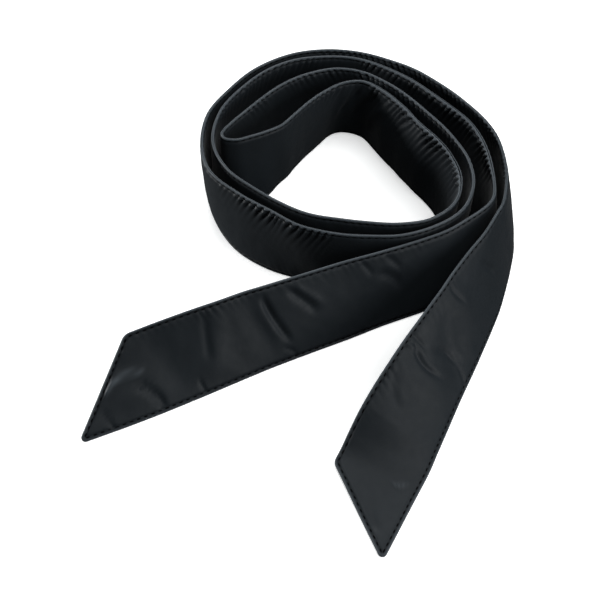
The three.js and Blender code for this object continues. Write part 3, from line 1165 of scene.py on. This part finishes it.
@dataclass(frozen=True)
class PaperFloor:
    """Matt white studio paper on a light table, which gives the eye a plain pale ground."""

    name: str = "matt studio paper"
    colour: str = "#f6f7f7"
    shade: str = "#f3f4f4"
    patch_size: float = 0.4
    glow: float = 0.5

    def build(self) -> bpy.types.Material:
        """Makes the material."""
        material, tree = empty_material(self.name)
        place = add_node(tree, "ShaderNodeTexCoord").outputs["Object"]
        patches = add_node(
            tree, "ShaderNodeTexNoise", {"Vector": place, "Scale": 1 / self.patch_size}
        ).outputs["Fac"]
        colour = add_node(
            tree, "ShaderNodeMix",
            {"Factor": patches, "A": linear(self.colour), "B": linear(self.shade)},
            data_type="RGBA",
        ).outputs["Result"]
        shader = add_node(
            tree, "ShaderNodeBsdfPrincipled",
            {"Base Color": colour, "Roughness": 0.95, "Specular IOR Level": 0.1,
             "Emission Color": linear(self.colour), "Emission Strength": self.glow},
        )
        add_node(tree, "ShaderNodeOutputMaterial", {"Surface": shader.outputs["BSDF"]})
        return material


@dataclass
class ClothPanel:
    """One cloth panel of the belt: a thin closed skin with rolled edges."""

    shape: ClothShape
    side: Side
    name: str
    node: str
    slot: str
    stations_per_stitch: int = 4
    end_zone: float = mm(100)
    # How far from the nearest long edge the columns of the outer and the inner skin lie.
    outer_columns: tuple[float, ...] = (
        0, 0.12, 0.4, 0.8, 1.25, 1.6, 1.85, 2.1, 2.35, 2.8, 3.5, 4.5, 5.8, 7.4, 9.2, 11.2, 13.4,
        15.7, 18.1, 20.6, 23.4,
    )
    inner_columns: tuple[float, ...] = (1, 3.5, 8, 14, 21)
    # How far the first sections lie from a slanted end, before the even ones start.
    end_sections: tuple[float, ...] = (
        0, 0.15, 0.5, 1, 1.6, 2.1, 2.45, 2.8, 3.1, 3.5, 4.1, 4.9, 5.8, 6.7, 7.5,
    )

    def _sections(self) -> Array:
        """Distances of the sections along the belt, close together at the ends."""
        length = self.shape.route.length
        near = np.array([mm(x) for x in self.end_sections])
        step = self.shape.stitch_pitch / self.stations_per_stitch
        count = round((length - 2 * near[-1]) / step)
        even = np.linspace(near[-1], length - near[-1], count + 1)
        return np.concatenate([near[:-1], even, length - near[:-1][::-1]])

    def _slanted(self, section: Array, across: Array) -> Array:
        """The distances along the belt of the points of sections that slant near the ends."""
        length = self.shape.route.length
        inset = self.shape.outline.inset(across)
        shrink = (self.end_zone - inset) / self.end_zone
        left = length - section
        along = np.where(section < self.end_zone, inset + section * shrink, section)
        return np.where(left < self.end_zone, length - inset - left * shrink, along)

    def build(self, material: bpy.types.Material) -> bpy.types.Object:
        """Makes the panel's mesh and object.

        Args:
            material: The panel's cloth.

        Returns:
            The object, with its place in its mesh.
        """
        half = self.shape.sizes.half_width
        outer = np.array([mm(x) for x in self.outer_columns])
        inner = np.array([mm(x) for x in self.inner_columns])
        outer_across = np.concatenate([outer - half, (half - outer)[::-1]])
        inner_across = np.concatenate([half - inner, (inner - half)[::-1]])
        sections = self._sections()
        count, ring = len(sections), len(outer_across) + len(inner_across)

        columns = np.concatenate([outer_across, inner_across])
        across = np.tile(columns, (count, 1))
        along = self._slanted(np.repeat(sections[:, None], ring, axis=1), across)
        along, across = along.ravel(), across.ravel()
        lean = self.shape.route.frames(along).lean
        skin = self.shape.panel_offset(along, across, self.side, lean)
        lining = np.maximum(self.shape.rim_gap / 2, skin - self.shape.sizes.panel_thickness)
        is_outer = np.tile(np.arange(ring) < len(outer_across), count)
        points = self.shape.place(along, across, np.where(is_outer, skin, lining), self.side)

        mesh = bpy.data.meshes.new(self.name)
        mesh.from_pydata(points.tolist(), [], self._faces(count, columns, len(outer_across)))
        mesh.polygons.foreach_set("use_smooth", np.ones(len(mesh.polygons), bool))
        layer = mesh.uv_layers.new(name="UVMap")
        corner = np.zeros(len(mesh.loops), int)
        mesh.loops.foreach_get("vertex_index", corner)
        layer.data.foreach_set("uv", np.column_stack([along, across])[corner].ravel())
        # Stores the paleness: rubbed wear and painted highlight at the rims, painted highlight on some
        # creases.
        attribute = mesh.attributes.new(WEAR_AND_HIGHLIGHT_ATTRIBUTE, "FLOAT", "POINT")
        wear_and_highlight = self.shape.wear_and_highlight(along, across)
        attribute.data.foreach_set("value", wear_and_highlight.astype(np.float32))
        mesh.materials.append(material)
        mesh.update()
        return link_object(self.name, mesh)

    def _faces(self, count: int, columns: Array, outer: int) -> list[tuple[int, ...]]:
        """The panel's faces, turned outwards.

        Args:
            count: How many sections it has.
            columns: Where the points of a section lie across the belt.
            outer: How many of them lie on the outer skin.

        Returns:
            The point numbers of each face.
        """
        ring = len(columns)
        i, j = np.meshgrid(np.arange(count - 1) * ring, np.arange(ring), indexing="ij")
        after = (j + 1) % ring
        faces = np.stack([i + j, i + ring + j, i + ring + after, i + after], axis=-1)
        faces = [tuple(face) for face in faces.reshape(-1, 4).tolist()]
        near = self._cap(columns, outer)
        last = (count - 1) * ring
        faces += near
        faces += [tuple(last + n for n in reversed(face)) for face in near]
        return faces if self.side is Side.FACE else [face[::-1] for face in faces]

    @staticmethod
    def _cap(columns: Array, outer: int) -> list[tuple[int, ...]]:
        """The triangles that close the first section, between its outer and its inner skin."""
        top = list(range(outer))
        under = list(range(len(columns) - 1, outer - 1, -1))
        faces, a, b = [], 0, 0
        while a + 1 < len(top) or b + 1 < len(under):
            next_top = columns[top[a + 1]] if a + 1 < len(top) else math.inf
            next_under = columns[under[b + 1]] if b + 1 < len(under) else math.inf
            if next_top <= next_under:
                faces.append((top[a], top[a + 1], under[b]))
                a += 1
            else:
                faces.append((top[a], under[b + 1], under[b]))
                b += 1
        return faces


@dataclass
class Topstitching:
    """The line of stitches round one side of the belt, made with Geometry Nodes.

    stitch_share is a thread loop's share of the distance between two needle holes, lift how far its
    middle stands off the groove, and wander how far it may turn aside, in degrees.
    """

    shape: ClothShape
    side: Side
    name: str
    stitch_share: float = 0.6
    thread_width: float = mm(0.85)
    thread_height: float = mm(0.6)
    lift: float = mm(0.1)
    wander: float = 4.0
    seed: int = 5

    def _holes(self) -> tuple[Array, Array]:
        """The needle holes in order round the belt, as distances along and across it."""
        shape, sizes = self.shape, self.shape.sizes
        length = shape.route.length

        def edge(sign: int) -> tuple[Array, Array]:
            """The holes of a long seam, from left to right."""
            start = shape.edge_starts[sign]
            along = np.linspace(start, length - start, shape.edge_stitches[sign] + 1)
            return along, np.full(len(along), sign * shape.seam_at)

        across = np.linspace(-shape.seam_at, shape.seam_at, shape.end_stitches + 1)
        inset = sizes.end_slant * (sizes.half_width + across) + sizes.seam_margin * sizes.slope
        runs = [
            edge(1),
            ((length - inset)[::-1], across[::-1]),
            tuple(part[::-1] for part in edge(-1)),
            (inset, across),
        ]
        return (
            np.concatenate([along[:-1] for along, _ in runs]),
            np.concatenate([across[:-1] for _, across in runs]),
        )

    def _path(self) -> bpy.types.Object:
        """The seam as a ring of edges, one for each stitch, which carries the cloth's direction."""
        along, across = self._holes()
        points = self.shape.outer_points(along, across, self.side)
        out = self.side.value * self.shape.route.frames(along).out
        count = len(points)
        mesh = bpy.data.meshes.new(self.name)
        ring = np.column_stack([np.arange(count), (np.arange(count) + 1) % count])
        mesh.from_pydata(points.tolist(), ring.tolist(), [])
        attribute = mesh.attributes.new(OUT_ATTRIBUTE, "FLOAT_VECTOR", "POINT")
        attribute.data.foreach_set("vector", out.astype(np.float32).ravel())
        return link_object(self.name, mesh)

    def _tree(self, material: bpy.types.Material) -> bpy.types.NodeTree:
        """The node tree that lays one thread loop on each edge of the seam."""
        tree = bpy.data.node_groups.new(self.name, "GeometryNodeTree")
        face = tree.interface
        face.new_socket(name="Geometry", in_out="INPUT", socket_type="NodeSocketGeometry")
        face.new_socket(name="Geometry", in_out="OUTPUT", socket_type="NodeSocketGeometry")
        for name, value in self._inputs().items():
            kind = "NodeSocketInt" if isinstance(value, int) else "NodeSocketFloat"
            face.new_socket(name=name, in_out="INPUT", socket_type=kind).default_value = value
        given = add_node(tree, "NodeGroupInput").outputs
        ends = add_node(tree, "GeometryNodeInputMeshEdgeVertices").outputs
        run = add_node(
            tree, "ShaderNodeVectorMath",
            {0: ends["Position 2"], 1: ends["Position 1"]}, operation="SUBTRACT",
        ).outputs["Vector"]
        kept = tree.nodes.new("GeometryNodeCaptureAttribute")
        kept.domain = "EDGE"
        kept.capture_items.new("VECTOR", "Run")
        tree.links.new(given["Geometry"], kept.inputs["Geometry"])
        tree.links.new(run, kept.inputs["Run"])
        run = kept.outputs["Run"]
        out = add_node(
            tree, "GeometryNodeInputNamedAttribute", {"Name": OUT_ATTRIBUTE},
            data_type="FLOAT_VECTOR",
        ).outputs["Attribute"]
        middles = add_node(
            tree, "GeometryNodeMeshToPoints", {"Mesh": kept.outputs["Geometry"]}, mode="EDGES"
        ).outputs["Points"]
        raised = add_node(
            tree, "ShaderNodeVectorMath", {0: out, "Scale": given["Lift"]}, operation="SCALE"
        ).outputs["Vector"]
        middles = add_node(
            tree, "GeometryNodeSetPosition", {"Geometry": middles, "Offset": raised}
        ).outputs["Geometry"]
        turn = add_node(
            tree, "FunctionNodeAxesToRotation", {"Primary Axis": run, "Secondary Axis": out},
            primary_axis="X", secondary_axis="Z",
        ).outputs["Rotation"]
        most = add_node(
            tree, "ShaderNodeMath", {0: given["Wander"]}, operation="RADIANS"
        ).outputs[0]
        least = add_node(tree, "ShaderNodeMath", {0: most, 1: -1.0}, operation="MULTIPLY").outputs[0]
        angle = add_node(
            tree, "FunctionNodeRandomValue",
            {"Min": least, "Max": most, "Seed": given["Seed"]}, data_type="FLOAT",
        )
        angle = next(o for o in angle.outputs if o.enabled and o.type == "VALUE")
        wandered = add_node(
            tree, "FunctionNodeAxisAngleToRotation", {"Axis": (0, 0, 1), "Angle": angle}
        ).outputs["Rotation"]
        turn = add_node(
            tree, "FunctionNodeRotateRotation", {"Rotation": turn, "Rotate By": wandered},
            rotation_space="LOCAL",
        ).outputs["Rotation"]
        length = add_node(tree, "ShaderNodeVectorMath", {0: run}, operation="LENGTH").outputs["Value"]
        length = add_node(
            tree, "ShaderNodeMath", {0: length, 1: given["Stitch Share"]}, operation="MULTIPLY"
        ).outputs[0]
        size = add_node(
            tree, "ShaderNodeCombineXYZ",
            {"X": length, "Y": given["Thread Width"], "Z": given["Thread Height"]},
        ).outputs["Vector"]
        loop = add_node(
            tree, "GeometryNodeMeshUVSphere", {"Segments": 6, "Rings": 5, "Radius": 0.5}
        ).outputs["Mesh"]
        loop = add_node(
            tree, "GeometryNodeSetShadeSmooth", {"Geometry": loop}
        ).outputs["Geometry"]
        laid = add_node(
            tree, "GeometryNodeInstanceOnPoints",
            {"Points": middles, "Instance": loop, "Rotation": turn, "Scale": size},
        ).outputs["Instances"]
        real = add_node(
            tree, "GeometryNodeRealizeInstances", {"Geometry": laid}
        ).outputs["Geometry"]
        dressed = add_node(
            tree, "GeometryNodeSetMaterial", {"Geometry": real, "Material": material}
        ).outputs["Geometry"]
        add_node(tree, "NodeGroupOutput", {"Geometry": dressed})
        return tree

    def _inputs(self) -> dict[str, float | int]:
        """The tree's named inputs and their values."""
        return {
            "Stitch Share": self.stitch_share,
            "Thread Width": self.thread_width,
            "Thread Height": self.thread_height,
            "Lift": self.lift,
            "Wander": self.wander,
            "Seed": self.seed,
        }

    def build(self, material: bpy.types.Material) -> bpy.types.Object:
        """Makes the stitches as a plain mesh.

        Args:
            material: The thread.

        Returns:
            The object, with its place in its mesh.
        """
        line = self._path()
        modifier = line.modifiers.new("Topstitching", "NODES")
        modifier.node_group = self._tree(material)
        for item in modifier.node_group.interface.items_tree:
            if item.in_out == "INPUT" and item.name in self._inputs():
                modifier[item.identifier] = self._inputs()[item.name]
        evaluated = line.evaluated_get(bpy.context.evaluated_depsgraph_get())
        made = bpy.data.meshes.new_from_object(evaluated)
        line.modifiers.remove(modifier)
        line.data = made
        if not made.materials:
            made.materials.append(material)
        return line


@dataclass
class CoatBelt:
    """The whole belt: two cloth panels and the stitches on each."""

    sizes: BeltSizes = field(default_factory=BeltSizes)

    def build(self) -> list[bpy.types.Object]:
        """Builds and dresses every piece.

        Returns:
            The pieces.
        """
        route = Route(self.sizes)
        shape = ClothShape(self.sizes, route)
        LOG.info("route %.3f m long, %s stitches a side", route.length, shape.edge_stitches)
        thread = PolyesterThread().build()
        pieces = []
        for side, word in ((Side.FACE, "face"), (Side.BACK, "back")):
            cloth = NylonTaffeta(f"nylon taffeta {word}").build()
            panel = ClothPanel(
                shape, side, f"{word}_cloth_panel", f"{word}_panel", f"{word}_cloth"
            )
            made = panel.build(cloth)
            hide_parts(panel.node)
            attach(made, BODY)
            stitches = Topstitching(shape, side, f"{word}_topstitching").build(thread)
            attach(stitches, BODY)
            pieces += [made, stitches]
        for piece in pieces:
            LOG.info("%s: %d faces", piece.name, len(piece.data.polygons))
        return pieces


@dataclass(frozen=True)
class SoftBox:
    """A large soft studio light, aimed at the belt.

    azimuth is the compass direction that it stands in, counted from +X towards +Y, and rise its
    height above the floor, both in degrees as seen from the belt.
    """

    name: str
    azimuth: float
    rise: float
    power: float
    distance: float = 1.3
    width: float = 0.6

    def build(self) -> None:
        """Adds the light."""
        light = bpy.data.lights.new(self.name, "AREA")
        light.shape = "SQUARE"
        light.size = self.width
        light.energy = self.power
        lamp = link_object(self.name, light)
        azimuth, rise = math.radians(self.azimuth), math.radians(self.rise)
        towards = Vector((
            math.cos(azimuth) * math.cos(rise), math.sin(azimuth) * math.cos(rise), math.sin(rise)
        ))
        lamp.location = towards * self.distance
        lamp.rotation_euler = towards.to_track_quat("Z", "Y").to_euler()


@dataclass
class Studio:
    """The pale floor, the soft lights and the camera."""

    floor_size: float = 6.0
    camera_target: tuple[float, float, float] = (mm(-6.48), mm(1.61), 0)
    camera_distance: float = mm(846)
    camera_elevation: float = 52.0
    lens: float = 84.0
    sky: str = "#e6eaec"
    sky_strength: float = 0.04
    lights: tuple[SoftBox, ...] = (
        SoftBox("low softbox on the left", 165, 9, 22, width=0.35),
        SoftBox("low softbox on the right", -30, 24, 13, width=0.8),
        SoftBox("high softbox on the right", 0, 62, 6),
        SoftBox("softbox overhead", 90, 87, 7, width=0.9),
        SoftBox("low softbox behind", 90, 25, 20, width=0.9),
    )

    def build(self) -> None:
        """Sets up the studio."""
        self._floor()
        self._sky()
        for light in self.lights:
            light.build()
        self._camera()
        bpy.context.scene.view_settings.view_transform = "Standard"

    def _floor(self) -> None:
        """Lays the paper floor under the belt."""
        half = self.floor_size / 2
        mesh = bpy.data.meshes.new("studio_floor")
        corners = [(-half, -half, 0), (half, -half, 0), (half, half, 0), (-half, half, 0)]
        mesh.from_pydata(corners, [], [(0, 1, 2, 3)])
        mesh.materials.append(PaperFloor().build())
        floor = link_object("studio_floor", mesh)
        floor.visible_diffuse = False
        floor.visible_glossy = False

    def _sky(self) -> None:
        """Fills the room with even light."""
        world = bpy.data.worlds.new("studio room")
        world.use_nodes = True
        ground = world.node_tree.nodes["Background"]
        ground.inputs["Color"].default_value = linear(self.sky)
        ground.inputs["Strength"].default_value = self.sky_strength
        bpy.context.scene.world = world

    def _camera(self) -> None:
        """Puts the camera where the photograph was taken from."""
        data = bpy.data.cameras.new("camera")
        data.lens = self.lens
        camera = link_object("camera", data)
        rise = math.radians(self.camera_elevation)
        target = Vector(self.camera_target)
        back = Vector((0, -math.cos(rise), math.sin(rise)))
        camera.location = target + back * self.camera_distance
        camera.rotation_euler = (-back).to_track_quat("-Z", "Y").to_euler()
        bpy.context.scene.camera = camera


def main() -> None:
    """Builds the belt and the studio round it."""
    logging.basicConfig(level=logging.INFO, format="%(name)s: %(message)s")
    CoatBelt().build()
    Studio().build()


if __name__ == "__main__":
    main()
